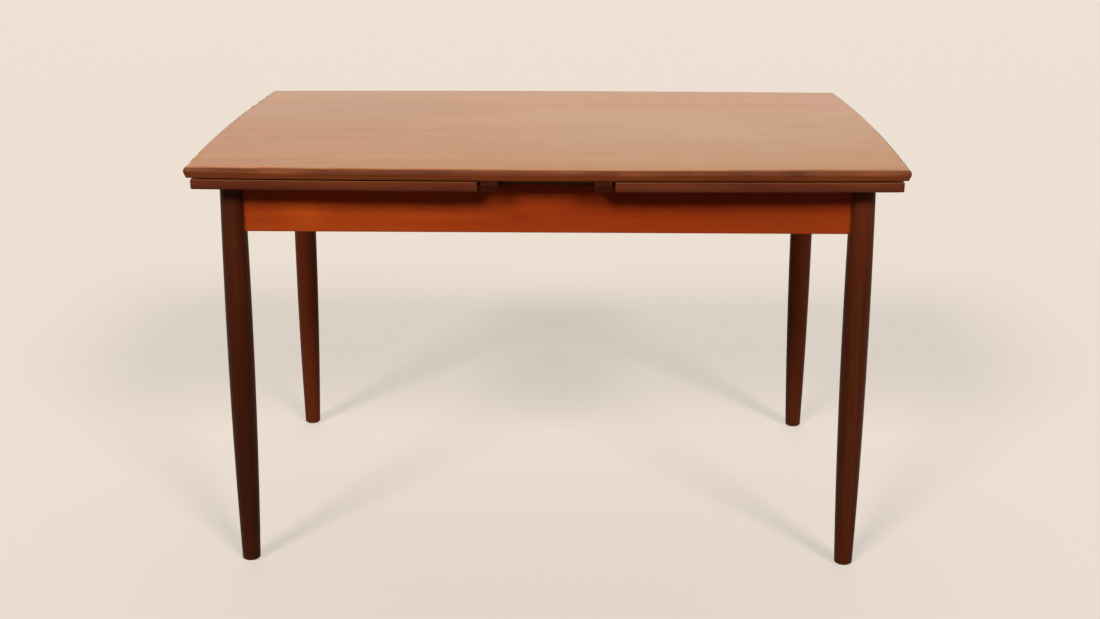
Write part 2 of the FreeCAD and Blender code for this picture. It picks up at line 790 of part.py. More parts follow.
def makeRailScrews(screw):
    screws = []
    for x in (-s.rail_offset, s.rail_offset):
        for y in (-apronMiddleY, apronMiddleY):
            screws.append(copyAt(screw, x, y, railTop))
    groupOf("rail_screws", screws)


# Frame, leaves and top

woodScrew = makeScrew()
makeLongApron("front_apron", 0)
makeLongApron("rear_apron", 180)
makeShortApron("left_end_apron", 0)
makeShortApron("right_end_apron", 180)
for corner, cornerAtX, cornerAtY, cornerTurn in cornerPlaces:
    makeLeg(corner + "_leg", cornerAtX, cornerAtY, cornerTurn)
    makeGlide(corner + "_glide", cornerAtX, cornerAtY)
    makeCornerBlock(corner + "_corner_block", cornerAtX, cornerAtY, cornerTurn)
makeCornerFasteners(woodScrew)
makeCrossRail("left_cross_rail", -s.rail_offset)
makeCrossRail("right_cross_rail", s.rail_offset)
makeRailScrews(woodScrew)
makeFelts()
makeLeaves()
makeBearers(woodScrew)
makeTop()
makeGuidePegs()
doc.recompute()

# Nothing is written unless every object recomputed, every cut removed wood and every shape is sound
for thing in doc.Objects:
    if "Invalid" in thing.State or "Error" in thing.State:
        raise RuntimeError("%s did not recompute" % thing.Label)
for before, after in cuts:
    if not after.Shape.Volume < before.Shape.Volume:
        raise RuntimeError("%s cuts nothing" % after.Label)
os.makedirs("parts", exist_ok=True)
for part in parts:
    if part.Shape.isNull() or not part.Shape.isValid():
        raise RuntimeError("%s is not a sound shape" % part.Label)
    part.Shape.exportStep("parts/%s.step" % part.Label)
    print("%-32s %2d solid(s) %10.0f mm3" % (part.Label, len(part.Shape.Solids), part.Shape.Volume))
print("leaf travel %.2f mm, %d sub-parts" % (leafTravel.value, len(parts)))
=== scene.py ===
import math

import bmesh
import bpy
from mathutils import Matrix, Vector


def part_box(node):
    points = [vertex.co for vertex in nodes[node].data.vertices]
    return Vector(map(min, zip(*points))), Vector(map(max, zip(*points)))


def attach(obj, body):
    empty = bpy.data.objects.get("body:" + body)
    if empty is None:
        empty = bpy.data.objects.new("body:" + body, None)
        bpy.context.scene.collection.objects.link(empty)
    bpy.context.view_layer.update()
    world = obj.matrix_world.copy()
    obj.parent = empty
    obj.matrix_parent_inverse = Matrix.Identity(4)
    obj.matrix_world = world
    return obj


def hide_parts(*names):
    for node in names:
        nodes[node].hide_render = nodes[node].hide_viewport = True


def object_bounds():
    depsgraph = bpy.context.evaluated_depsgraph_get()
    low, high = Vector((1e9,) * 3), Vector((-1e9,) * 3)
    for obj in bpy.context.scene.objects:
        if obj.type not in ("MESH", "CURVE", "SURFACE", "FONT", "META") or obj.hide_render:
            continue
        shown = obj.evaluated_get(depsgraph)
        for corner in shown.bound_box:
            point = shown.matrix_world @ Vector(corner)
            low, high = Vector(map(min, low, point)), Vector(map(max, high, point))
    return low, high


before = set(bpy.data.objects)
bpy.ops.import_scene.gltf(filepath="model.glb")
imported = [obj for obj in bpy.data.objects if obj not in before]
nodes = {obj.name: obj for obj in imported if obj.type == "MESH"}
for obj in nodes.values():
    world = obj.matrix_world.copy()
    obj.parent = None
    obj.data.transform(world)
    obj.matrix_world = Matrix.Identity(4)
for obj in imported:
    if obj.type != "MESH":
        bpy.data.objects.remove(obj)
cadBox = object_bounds()
print("frame loaded,", len(nodes), "nodes")


# Camera, where the photograph was taken from

cameraSet = {
    "spot": (0.0474, -3.0838, 1.2567),
    "turn": 0.88,        # degrees to the left of straight ahead
    "dip": 16.08,        # degrees below level
    "lean": 0.083,
    "lens": 53.96,
    "sensor": 36,
}


def setUpCamera():
    bpy.ops.object.camera_add()
    camera = bpy.context.object
    camera.name = "photoCamera"
    camera.data.sensor_width = cameraSet["sensor"]
    camera.data.lens = cameraSet["lens"]
    turn = Matrix.Rotation(math.radians(cameraSet["turn"]), 4, "Z")
    dip = Matrix.Rotation(math.radians(90 - cameraSet["dip"]), 4, "X")
    lean = Matrix.Rotation(math.radians(cameraSet["lean"]), 4, "Z")
    camera.matrix_world = Matrix.Translation(cameraSet["spot"]) @ turn @ dip @ lean
    bpy.context.scene.camera = camera


setUpCamera()
print("camera set")


# Small helpers for node trees

def addNode(tree, kind, **settings):
    node = tree.nodes.new(kind)
    for word, value in settings.items():
        setattr(node, word, value)
    return node


def give(tree, socket, value):           # a number, a colour or another node's output
    if isinstance(value, bpy.types.NodeSocket):
        tree.links.new(value, socket)
    else:
        socket.default_value = value


def sums(tree, operation, *values):
    node = addNode(tree, "ShaderNodeMath", operation=operation)
    for socket, value in zip(node.inputs, values):
        give(tree, socket, value)
    return node.outputs[0]


def vectorSums(tree, operation, *values):
    node = addNode(tree, "ShaderNodeVectorMath", operation=operation)
    for socket, value in zip(node.inputs, values):
        give(tree, socket, value)
    return node.outputs["Value"] if operation == "LENGTH" else node.outputs["Vector"]


def spread(tree, value, low, high, toLow=0.0, toHigh=1.0):      # low..high becomes toLow..toHigh
    node = addNode(tree, "ShaderNodeMapRange", interpolation_type="SMOOTHSTEP")
    for socket, number in zip(node.inputs, (value, low, high, toLow, toHigh)):
        give(tree, socket, number)
    return node.outputs[0]


def blendColours(tree, share, first, second, way="MIX"):
    node = addNode(tree, "ShaderNodeMix", data_type="RGBA", blend_type=way)
    give(tree, node.inputs[0], share)
    give(tree, node.inputs[6], first)
    give(tree, node.inputs[7], second)
    return node.outputs[2]


def ramp(tree, value, stops):
    node = addNode(tree, "ShaderNodeValToRGB")
    band = node.color_ramp
    while len(band.elements) < len(stops):
        band.elements.new(0.5)
    for element, (place, colour) in zip(band.elements, stops):
        element.position = place
        element.color = (*colour, 1)
    give(tree, node.inputs[0], value)
    return node.outputs["Color"]


def noise(tree, vector, scale, detail=2.0, rough=0.5, output="Fac"):
    node = addNode(tree, "ShaderNodeTexNoise")
    for word, value in (("Vector", vector), ("Scale", scale), ("Detail", detail), ("Roughness", rough)):
        give(tree, node.inputs[word], value)
    return node.outputs[output]


def partOf(tree, vector, letter):        # one coordinate of a vector
    node = addNode(tree, "ShaderNodeSeparateXYZ")
    give(tree, node.inputs[0], vector)
    return node.outputs[letter]


def addBump(tree, shader, height, distance):
    bump = addNode(tree, "ShaderNodeBump")
    bump.inputs["Distance"].default_value = distance
    give(tree, bump.inputs["Height"], height)
    give(tree, shader.inputs["Normal"], bump.outputs[0])


def newGroup(name, inputs, outputs):
    group = bpy.data.node_groups.new(name, "ShaderNodeTree")
    for word, value in inputs.items():
        kind = "NodeSocketFloat" if isinstance(value, (int, float)) else "NodeSocketVector"
        socket = group.interface.new_socket(name=word, in_out="INPUT", socket_type=kind)
        socket.default_value = value
    for word in outputs:
        group.interface.new_socket(name=word, in_out="OUTPUT", socket_type="NodeSocketFloat")
    source = addNode(group, "NodeGroupInput").outputs
    target = addNode(group, "NodeGroupOutput").inputs
    return group, source, target


def useGroup(tree, group, **values):
    node = addNode(tree, "ShaderNodeGroup", node_tree=group)
    for word, value in values.items():
        give(tree, node.inputs[word], value)
    return node.outputs


# Effects that several finishes share. A draw below 1 stretches a pattern along X

grainSet = {
    "bendScale": 7.0,                    # slow sideways wandering of the grain
    "figureDetail": 4.0, "figureRough": 0.6,
    "pith": (0, 0.31, 0.17),             # the heart lies outside the board
    "ringBend": 2.2, "ringDetail": 2.0, "ringDetailScale": 1.3,
    "fibreDraw": 0.016, "fibreDetail": 3.0, "fibreRough": 0.6,
    "poreDraw": 0.055, "poreScale": 0.8, "poreRough": 0.4, "poreEdges": (0.60, 0.72),
}
markSet = {"raggedScale": 1.7, "raggedDetail": 3.0}
wearSet = {"corner": (0.80, 0.995), "patches": (0.35, 0.65), "patchDetail": 3.0, "samples": 6}
smudgeSet = {"draw": 0.45, "broadDetail": 3.0, "broadRough": 0.55, "broadShare": 0.7,
             "smallScale": 9.0, "smallShare": 0.3, "edges": (0.3, 0.7)}


def makeGrainGroup():                    # wood grown along X
    grain = grainSet
    group, source, target = newGroup(
        "woodGrain",
        {"Vector": (0, 0, 0), "Bands": 14.0, "Stretch": 0.07, "Wander": 0.02, "Fibres": 900.0},
        ("Figure", "Rings", "Fibres", "Pores"))
    stretch = addNode(group, "ShaderNodeCombineXYZ")
    stretch.inputs["Y"].default_value = 1
    stretch.inputs["Z"].default_value = 1
    give(group, stretch.inputs["X"], source["Stretch"])
    drawn = vectorSums(group, "MULTIPLY", source["Vector"], stretch.outputs[0])
    bend = noise(group, drawn, grain["bendScale"], output="Color")
    bent = vectorSums(group, "SUBTRACT", bend, (0.5, 0.5, 0.5))
    scale = addNode(group, "ShaderNodeVectorMath", operation="SCALE")
    give(group, scale.inputs[0], bent)
    give(group, scale.inputs["Scale"], source["Wander"])
    wandering = vectorSums(group, "ADD", drawn, scale.outputs[0])
    figure = noise(group, wandering, source["Bands"], grain["figureDetail"], grain["figureRough"])
    give(group, target["Figure"], figure)
    rings = addNode(group, "ShaderNodeTexWave", wave_type="RINGS", rings_direction="X", wave_profile="SAW")
    pith = vectorSums(group, "ADD", wandering, grain["pith"])
    for word, value in (("Vector", pith), ("Scale", source["Bands"]), ("Distortion", grain["ringBend"]),
                        ("Detail", grain["ringDetail"]), ("Detail Scale", grain["ringDetailScale"])):
        give(group, rings.inputs[word], value)
    give(group, target["Rings"], rings.outputs["Fac"])
    fine = vectorSums(group, "MULTIPLY", source["Vector"], (grain["fibreDraw"], 1, 1))
    fibres = noise(group, fine, source["Fibres"], grain["fibreDetail"], grain["fibreRough"])
    give(group, target["Fibres"], fibres)
    dashes = vectorSums(group, "MULTIPLY", source["Vector"], (grain["poreDraw"], 1, 1))
    dashScale = sums(group, "MULTIPLY", source["Fibres"], grain["poreScale"])
    dash = noise(group, dashes, dashScale, 1.0, grain["poreRough"])
    give(group, target["Pores"], spread(group, dash, *grain["poreEdges"]))
    return group


def makeMarkGroup():                     # one soft-edged spot, 1 at its centre
    group, source, target = newGroup(
        "softMark", {"Vector": (0, 0, 0), "Centre": (0, 0, 0), "Reach": (0.1, 0.1, 0.1), "Ragged": 0.3},
        ("Mask",))
    away = vectorSums(group, "SUBTRACT", source["Vector"], source["Centre"])
    shares = vectorSums(group, "DIVIDE", away, source["Reach"])
    far = vectorSums(group, "LENGTH", shares)
    lumps = noise(group, shares, markSet["raggedScale"], markSet["raggedDetail"])
    ragged = sums(group, "SUBTRACT", lumps, 0.5)
    edge = sums(group, "MULTIPLY_ADD", ragged, source["Ragged"], far)
    give(group, target["Mask"], spread(group, edge, 0.0, 1.0, 1.0, 0.0))
    return group


def makeWearGroup():                     # arrises that hands and cloths have rubbed
    group, source, target = newGroup(
        "edgeWear", {"Vector": (0, 0, 0), "Radius": 0.002, "Patches": 30.0}, ("Mask",))
    bevel = addNode(group, "ShaderNodeBevel", samples=wearSet["samples"])
    give(group, bevel.inputs["Radius"], source["Radius"])
    geometry = addNode(group, "ShaderNodeNewGeometry")
    likeness = addNode(group, "ShaderNodeVectorMath", operation="DOT_PRODUCT")
    give(group, likeness.inputs[0], bevel.outputs["Normal"])
    give(group, likeness.inputs[1], geometry.outputs["Normal"])
    corner = spread(group, likeness.outputs["Value"], *wearSet["corner"], 1.0, 0.0)
    clouds = noise(group, source["Vector"], source["Patches"], wearSet["patchDetail"])
    patches = spread(group, clouds, *wearSet["patches"])
    give(group, target["Mask"], sums(group, "MULTIPLY", corner, patches))
    return group


def makeSmudgeGroup():                   # uneven polish, wiped mostly along the board
    group, source, target = newGroup("polishSmudges", {"Vector": (0, 0, 0), "Scale": 5.0}, ("Mask",))
    smudge = smudgeSet
    wiped = vectorSums(group, "MULTIPLY", source["Vector"], (smudge["draw"], 1, 1))
    broad = noise(group, wiped, source["Scale"], smudge["broadDetail"], smudge["broadRough"])
    small = noise(group, wiped, sums(group, "MULTIPLY", source["Scale"], smudge["smallScale"]))
    broadPart = sums(group, "MULTIPLY", broad, smudge["broadShare"])
    both = sums(group, "MULTIPLY_ADD", small, smudge["smallShare"], broadPart)
    give(group, target["Mask"], spread(group, both, *smudge["edges"]))
    return group


woodGrain = makeGrainGroup()
softMark = makeMarkGroup()
edgeWear = makeWearGroup()
polishSmudges = makeSmudgeGroup()
print("shared effects made")


# Woods. Colours are linear; marks are (centre, reach, ragged, colour, share) in the frame's metres.
# coat is the polish at the table's front and rear edge. Over the first pair of heights a lipping's
# colour turns into the veneer's lighter colour on its top face. This is painted light: the top face is
# lighter and the side faces darker as light falls on them, and the sides are partly a darker solid wood
# as well. Over the second pair, polished, it takes the polish

quarter = math.pi / 2
grainTurns = {"x": (0, 0, 0), "y": (0, 0, -quarter), "z": (0, quarter, 0)}
wearSize = {"Radius": 0.0022, "Patches": 26.0}
smudgeScale = 6.0
poreDullness = 0.15

veneerSet = {
    "tones": ((0.30, (0.41, 0.143, 0.035)), (0.50, (0.482, 0.180, 0.046)), (0.70, (0.53, 0.215, 0.061))),
    "ringTone": (0.38, 0.112, 0.027), "ringShare": 0.16,
    "fibreTone": (0.36, 0.105, 0.025), "fibreShare": 0.22,
    "poreTone": (0.22, 0.060, 0.018), "poreShare": 0.25,
    "bands": 11.0, "stretch": 0.05, "wander": 0.02, "fibres": 800.0,
    "gloss": (0.40, 0.50), "specular": 0.12, "bump": 0.00006,
    "coat": (0.50, 0.80), "coatRough": 0.27,
    "marks": (((-0.38, 0.16, 0.73), (0.40, 0.34, 0.2), 0.5, (0.40, 0.165, 0.045), 0.8),
              ((0.05, 0.10, 0.73), (0.34, 0.18, 0.2), 0.5, (0.54, 0.25, 0.100), 0.4),
              ((0.28, -0.12, 0.73), (0.68, 0.46, 0.2), 0.4, (0.478, 0.245, 0.100), 0.8),
              ((-0.24, -0.38, 0.73), (0.34, 0.10, 0.2), 0.5, (0.50, 0.165, 0.044), 0.4)),
}
# The lippings' dark tones are partly a darker solid wood and partly painted shade on their side faces
lippingSet = {
    "tones": ((0.28, (0.085, 0.019, 0.006)), (0.50, (0.150, 0.038, 0.012)), (0.72, (0.215, 0.060, 0.019))),
    "ringTone": (0.075, 0.016, 0.006), "ringShare": 0.30,
    "fibreTone": (0.080, 0.018, 0.006), "fibreShare": 0.30,
    "poreTone": (0.045, 0.010, 0.004), "poreShare": 0.35,
    "wearTone": (0.27, 0.090, 0.035), "wearShare": 0.45,
    "bands": 22.0, "stretch": 0.16, "wander": 0.03, "fibres": 900.0,
    "gloss": (0.40, 0.52), "specular": 0.08, "bump": 0.00008,
    "litTop": (0.7270, 0.7300), "polished": (0.7240, 0.7275),
    "marks": (((0.408, -0.43, 0.725), (0.034, 0.05, 0.03), 0.2, (0.075, 0.018, 0.008), 0.85),
              ((-0.44, -0.43, 0.722), (0.07, 0.05, 0.007), 0.6, (0.26, 0.080, 0.020), 0.5),
              ((0.15, -0.43, 0.720), (0.06, 0.05, 0.006), 0.6, (0.30, 0.075, 0.016), 0.5),
              ((0.54, -0.43, 0.722), (0.06, 0.05, 0.008), 0.6, (0.27, 0.070, 0.015), 0.5),
              ((0, -0.43, 0.7157), (3.0, 0.05, 0.006), 0.3, (0.23, 0.047, 0.008), 0.55)),
}
endLippingSet = {**lippingSet, "litTop": (0.7286, 0.7300)}
# The leaf edges' dark tones are partly a darker wood and partly painted shade on their side faces
leafEdgeSet = {
    **lippingSet,
    "tones": ((0.28, (0.073, 0.012, 0.004)), (0.50, (0.124, 0.024, 0.008)), (0.72, (0.168, 0.039, 0.013))),
    "wearTone": (0.20, 0.065, 0.032), "wearShare": 0.6,
    "litTop": (0.70742, 0.7075), "polished": (0.70742, 0.7075),
    "marks": (((-0.30, -0.43, 0.700), (0.16, 0.05, 0.02), 0.5, (0.15, 0.028, 0.008), 0.5),
              ((0.45, -0.43, 0.698), (0.10, 0.05, 0.02), 0.5, (0.08, 0.017, 0.007), 0.5),
              # painted shade: the leaf edges are darker towards their lower side, where less light falls
              ((0, 0, 0.6905), (3.0, 3.0, 0.013), 0.25, (0.050, 0.010, 0.004), 0.85)),
}
apronSet = {
    "tones": ((0.28, (0.235, 0.026, 0.0020)), (0.50, (0.292, 0.039, 0.0032)),
              (0.72, (0.345, 0.052, 0.0046))),
    "ringTone": (0.24, 0.022, 0.002), "ringShare": 0.25,
    "fibreTone": (0.23, 0.022, 0.002), "fibreShare": 0.22,
    "poreTone": (0.13, 0.012, 0.001), "poreShare": 0.28,
    "wearTone": (0.42, 0.085, 0.016), "wearShare": 0.4,
    "bands": 16.0, "stretch": 0.10, "wander": 0.04, "fibres": 850.0,
    "gloss": (0.42, 0.55), "specular": 0.08, "bump": 0.00008,
    "marks": (((-0.045, -0.365, 0.633), (0.028, 0.03, 0.010), 0.4, (0.19, 0.018, 0.003), 0.7),
              ((-0.41, -0.365, 0.640), (0.060, 0.05, 0.05), 0.8, (0.43, 0.072, 0.006), 0.45),
              ((0.40, -0.365, 0.650), (0.27, 0.05, 0.09), 0.6, (0.21, 0.025, 0.002), 0.8),
              # painted shade: a darker band along the apron's upper edge, under the overhang of the top and
              # leaves
              ((0, -0.365, 0.692), (3.0, 0.2, 0.024), 0.3, (0.17, 0.018, 0.001), 0.6)),
}
legSet = {
    "tones": ((0.28, (0.036, 0.0060, 0.0014)), (0.50, (0.062, 0.0120, 0.0030)),
              (0.72, (0.090, 0.0185, 0.0052))),
    "ringTone": (0.034, 0.006, 0.002), "ringShare": 0.35,
    "fibreTone": (0.034, 0.006, 0.002), "fibreShare": 0.35,
    "poreTone": (0.018, 0.004, 0.002), "poreShare": 0.45,
    "wearTone": (0.16, 0.055, 0.028), "wearShare": 0.35,
    "bands": 30.0, "stretch": 0.10, "wander": 0.02, "fibres": 950.0,
    "gloss": (0.36, 0.48), "specular": 0.055, "bump": 0.00010,
    # The first and last marks are painted light: they lighten the two rear legs, which the lamps reach
    # under the top
    "marks": (((-0.53, 0.36, 0.35), (0.12, 0.12, 0.90), 0.3, (0.135, 0.024, 0.006), 0.8),
              ((-0.53, -0.36, 0.15), (0.12, 0.12, 0.50), 0.3, (0.026, 0.005, 0.001), 0.85),
              ((0.53, -0.36, 0.68), (0.12, 0.12, 0.20), 0.3, (0.105, 0.020, 0.005), 0.7),
              ((0.53, 0.36, 0.40), (0.12, 0.12, 0.80), 0.3, (0.105, 0.020, 0.005), 0.5)),
}
railSet = {
    **legSet,
    "tones": ((0.28, (0.030, 0.0045, 0.0010)), (0.50, (0.047, 0.0080, 0.0016)),
              (0.72, (0.064, 0.0125, 0.0028))),
    "gloss": (0.55, 0.70), "specular": 0.05,
}
beechSet = {
    "tones": ((0.28, (0.47, 0.27, 0.13)), (0.50, (0.54, 0.33, 0.17)), (0.72, (0.60, 0.38, 0.21))),
    "ringTone": (0.44, 0.24, 0.12), "ringShare": 0.25,
    "fibreTone": (0.43, 0.23, 0.11), "fibreShare": 0.20,
    "poreTone": (0.30, 0.15, 0.07), "poreShare": 0.55,
    "wearTone": (0.64, 0.44, 0.26), "wearShare": 0.4,
    "bands": 20.0, "stretch": 0.10, "wander": 0.02, "fibres": 500.0,
    "gloss": (0.55, 0.70), "specular": 0.3, "bump": 0.00010,
    "marks": (),
}


def newMaterial(name, specular):
    material = bpy.data.materials.new(name)
    material.use_nodes = True
    shader = material.node_tree.nodes["Principled BSDF"]
    shader.inputs["Specular IOR Level"].default_value = specular
    return material, material.node_tree, shader


def woodColour(tree, look, place, wood):
    colour = ramp(tree, look["Figure"], wood["tones"])
    for part, output in (("ring", "Rings"), ("fibre", "Fibres"), ("pore", "Pores")):
        share = sums(tree, "MULTIPLY", look[output], wood[part + "Share"])
        colour = blendColours(tree, share, colour, (*wood[part + "Tone"], 1))
    for centre, reach, ragged, tone, share in wood["marks"]:
        mark = useGroup(tree, softMark, Vector=place, Centre=centre, Reach=reach, Ragged=ragged)
        strength = sums(tree, "MULTIPLY", mark["Mask"], share)
        colour = blendColours(tree, strength, colour, (*tone, 1))
    if "wearShare" in wood:
        worn = useGroup(tree, edgeWear, Vector=place, **wearSize)
        strength = sums(tree, "MULTIPLY", worn["Mask"], wood["wearShare"])
        colour = blendColours(tree, strength, colour, (*wood["wearTone"], 1))
    return colour


def woodLook(tree, along, wood):
    return useGroup(tree, woodGrain, Vector=along, Bands=wood["bands"], Stretch=wood["stretch"],
                    Wander=wood["wander"], Fibres=wood["fibres"])


def woodMaterial(name, wood, grain, upper=None):     # upper: the veneer, whose lighter colour is painted on the top face as light
    material, tree, shader = newMaterial(name, wood["specular"])
    place = addNode(tree, "ShaderNodeTexCoord").outputs["Object"]
    mapping = addNode(tree, "ShaderNodeMapping")
    mapping.inputs["Rotation"].default_value = grainTurns[grain]
    give(tree, mapping.inputs["Vector"], place)
    along = mapping.outputs[0]
    look = woodLook(tree, along, wood)
    colour = woodColour(tree, look, place, wood)
    if upper:
        # painted light: the top face takes the veneer's lighter colour, and the sides keep the darker
        # colour that is partly painted shade
        height = partOf(tree, place, "Z")
        litTop = spread(tree, height, *wood["litTop"])
        litTopColour = woodColour(tree, woodLook(tree, along, upper), place, upper)
        colour = blendColours(tree, litTop, colour, litTopColour)
    give(tree, shader.inputs["Base Color"], colour)
    coated = upper or wood
    if "coat" in coated:
        polish = spread(tree, partOf(tree, place, "Y"), cadBox[0][1], cadBox[1][1], *coated["coat"])
        if upper:
            polish = sums(tree, "MULTIPLY", polish, spread(tree, height, *wood["polished"]))
        give(tree, shader.inputs["Coat Weight"], polish)
        shader.inputs["Coat Roughness"].default_value = coated["coatRough"]
    smudges = useGroup(tree, polishSmudges, Vector=along, Scale=smudgeScale)
    shine = spread(tree, smudges["Mask"], 0.0, 1.0, *wood["gloss"])
    give(tree, shader.inputs["Roughness"], sums(tree, "MULTIPLY_ADD", look["Pores"], poreDullness, shine))
    addBump(tree, shader, sums(tree, "SUBTRACT", look["Fibres"], look["Pores"]), wood["bump"])
    return material


# Felt and metals

feltSet = {
    "dark": (0.020, 0.034, 0.024), "light": (0.050, 0.072, 0.052),
    "fuzz": 1400.0, "fuzzDetail": 3.0, "fuzzRough": 0.7, "fuzzEdges": (0.2, 0.8),
    "fuzzToClumps": 12, "clumpShare": 0.5, "clumpEdges": (0.35, 0.65),
    "gloss": (0.85, 1.0), "specular": 0.1, "bump": 0.0004, "sheen": 0.4, "sheenRough": 0.6,
}
steelSets = {
    "boltSteel": {"dull": (0.30, 0.27, 0.22), "bright": (0.62, 0.58, 0.50), "rust": (0.16, 0.07, 0.03),
                  "rustShare": 0.5, "gloss": (0.34, 0.55)},
    "screwSteel": {"dull": (0.26, 0.24, 0.21), "bright": (0.55, 0.52, 0.47), "rust": (0.12, 0.06, 0.03),
                   "rustShare": 0.4, "gloss": (0.36, 0.55)},
    "glideSteel": {"dull": (0.52, 0.49, 0.44), "bright": (0.80, 0.78, 0.74), "rust": (0.30, 0.20, 0.12),
                   "rustShare": 0.25, "gloss": (0.18, 0.38)},
}
steelGrain = {
    "smudges": 90.0, "smudgeEdges": (0.2, 0.8),
    "specks": 420.0, "speckDetail": 4.0, "speckRough": 0.65, "speckEdges": (0.56, 0.70),
    "speckDullness": 0.2, "brushing": 900.0, "bump": 0.00003, "specular": 0.5,
}


def feltMaterial():
    felt = feltSet
    material, tree, shader = newMaterial("greenFelt", felt["specular"])
    place = addNode(tree, "ShaderNodeTexCoord").outputs["Object"]
    fuzz = noise(tree, place, felt["fuzz"], felt["fuzzDetail"], felt["fuzzRough"])
    clumps = noise(tree, place, felt["fuzz"] / felt["fuzzToClumps"])
    fuzzPart = sums(tree, "MULTIPLY", fuzz, 1 - felt["clumpShare"])
    both = sums(tree, "MULTIPLY_ADD", clumps, felt["clumpShare"], fuzzPart)
    stops = zip(felt["clumpEdges"], (felt["dark"], felt["light"]))
    give(tree, shader.inputs["Base Color"], ramp(tree, both, tuple(stops)))
    give(tree, shader.inputs["Roughness"], spread(tree, fuzz, *felt["fuzzEdges"], *felt["gloss"]))
    shader.inputs["Sheen Weight"].default_value = felt["sheen"]
    shader.inputs["Sheen Roughness"].default_value = felt["sheenRough"]
    addBump(tree, shader, fuzz, felt["bump"])
    return material


def steelMaterial(name, steel):
    grain = steelGrain
    material, tree, shader = newMaterial(name, grain["specular"])
    place = addNode(tree, "ShaderNodeTexCoord").outputs["Object"]
    shader.inputs["Metallic"].default_value = 1
    smudges = useGroup(tree, polishSmudges, Vector=place, Scale=grain["smudges"])
    stops = zip(grain["smudgeEdges"], (steel["dull"], steel["bright"]))
    colour = ramp(tree, smudges["Mask"], tuple(stops))
    dots = noise(tree, place, grain["specks"], grain["speckDetail"], grain["speckRough"])
    specks = spread(tree, dots, *grain["speckEdges"])
    share = sums(tree, "MULTIPLY", specks, steel["rustShare"])
    give(tree, shader.inputs["Base Color"], blendColours(tree, share, colour, (*steel["rust"], 1)))
    shine = spread(tree, smudges["Mask"], 0.0, 1.0, steel["gloss"][1], steel["gloss"][0])
    roughness = sums(tree, "MULTIPLY_ADD", specks, grain["speckDullness"], shine)
    give(tree, shader.inputs["Roughness"], roughness)
    addBump(tree, shader, noise(tree, place, grain["brushing"]), grain["bump"])
    return material


woods = {
    "topVeneer": (veneerSet, "x"),
    "lippingAlong": (lippingSet, "x", veneerSet),
    "lippingAcross": (endLippingSet, "y", veneerSet),
    "leafEdgeAlong": (leafEdgeSet, "x", veneerSet),
    "leafEdgeAcross": (leafEdgeSet, "y", veneerSet),
    "apronAlong": (apronSet, "x"),
    "apronAcross": (apronSet, "y"),
    "darkLeg": (legSet, "z"),
    "crossRail": (railSet, "y"),
    "beechAlong": (beechSet, "x"),
    "beechUpright": (beechSet, "z"),
}
finishes = {name: woodMaterial(name, *settings) for name, settings in woods.items()}
finishes["greenFelt"] = feltMaterial()
for name, steel in steelSets.items():
    finishes[name] = steelMaterial(name, steel)
# The first word that a node's name holds decides its finish
finishOfWord = (
    ("leaf_front_lipping", "leafEdgeAlong"), ("leaf_rear_lipping", "leafEdgeAlong"),
    ("leaf_inner_lipping", "leafEdgeAcross"), ("leaf_outer_lipping", "leafEdgeAcross"),
    ("front_lipping", "lippingAlong"), ("rear_lipping", "lippingAlong"), ("lipping", "lippingAcross"),
    ("panel", "topVeneer"), ("end_apron", "apronAcross"), ("apron", "apronAlong"), ("leg", "darkLeg"),
    ("glide", "glideSteel"), ("screws", "screwSteel"), ("block", "beechUpright"),
    ("cross_rail", "crossRail"), ("felt", "greenFelt"), ("bearer", "beechAlong"), ("pegs", "beechUpright"),
    ("bolt", "boltSteel"),
)


def dressNodes():
    for name, node in nodes.items():
        finish = next(finish for word, finish in finishOfWord if word in name)
        node.data.materials.clear()
        node.data.materials.append(finishes[finish])


dressNodes()
print("finishes given")


# Modelling helpers

smoothAngle = math.radians(35)
weldReach = 0.00001                      # how near two points of a node's mesh are one


def startEdit():                         # edit mode on the piece just added, nothing selected
    bpy.ops.object.mode_set(mode="EDIT")
    bpy.ops.mesh.select_mode(type="FACE")
    bpy.ops.mesh.select_all(action="DESELECT")


def endEdit():
    bpy.ops.mesh.select_all(action="SELECT")
    bpy.ops.mesh.normals_make_consistent(inside=False)
    bpy.ops.object.mode_set(mode="OBJECT")


def pickFaces(test):                     # selects the faces that pass a test on centre and normal
    mesh = bmesh.from_edit_mesh(bpy.context.object.data)
    for face in mesh.faces:
        face.select_set(test(face.calc_center_median(), face.normal))
    bmesh.update_edit_mesh(bpy.context.object.data)


def pickEdges(test):                     # selects the edges whose two ends pass a test
    bpy.ops.mesh.select_mode(type="EDGE")
    mesh = bmesh.from_edit_mesh(bpy.context.object.data)
    for edge in mesh.edges:
        edge.select_set(all(test(corner.co) for corner in edge.verts))
    mesh.select_flush_mode()
    bmesh.update_edit_mesh(bpy.context.object.data)


def pickTop():
    pickFaces(lambda centre, normal: normal.z > 0.9)


def pickBottom():
    pickFaces(lambda centre, normal: normal.z < -0.9)


def pushOut(rise, size):                 # extrudes the selected face up and scales it
    bpy.ops.mesh.extrude_region_move(TRANSFORM_OT_translate={"value": (0, 0, rise)})
    bpy.ops.transform.resize(value=(size, size, 1))


def applyModifier(piece, kind, **settings):
    modifier = piece.modifiers.new(kind, kind)
    for word, value in settings.items():
        setattr(modifier, word, value)
    bpy.ops.object.select_all(action="DESELECT")
    piece.select_set(True)
    bpy.context.view_layer.objects.active = piece
    bpy.ops.object.modifier_apply(modifier=modifier.name)


def cutThread(turns, pitch, flank, root):        # groove after groove; a pitch below zero goes down
    for turn in range(turns):
        pushOut(pitch * flank, root)
        pushOut(pitch * (1 - 2 * flank), 1)
        pushOut(pitch * flank, 1 / root)


def cutWith(piece, tool, operation="DIFFERENCE"):
    applyModifier(piece, "BOOLEAN", object=tool, operation=operation, solver="EXACT")
    bpy.data.objects.remove(tool)


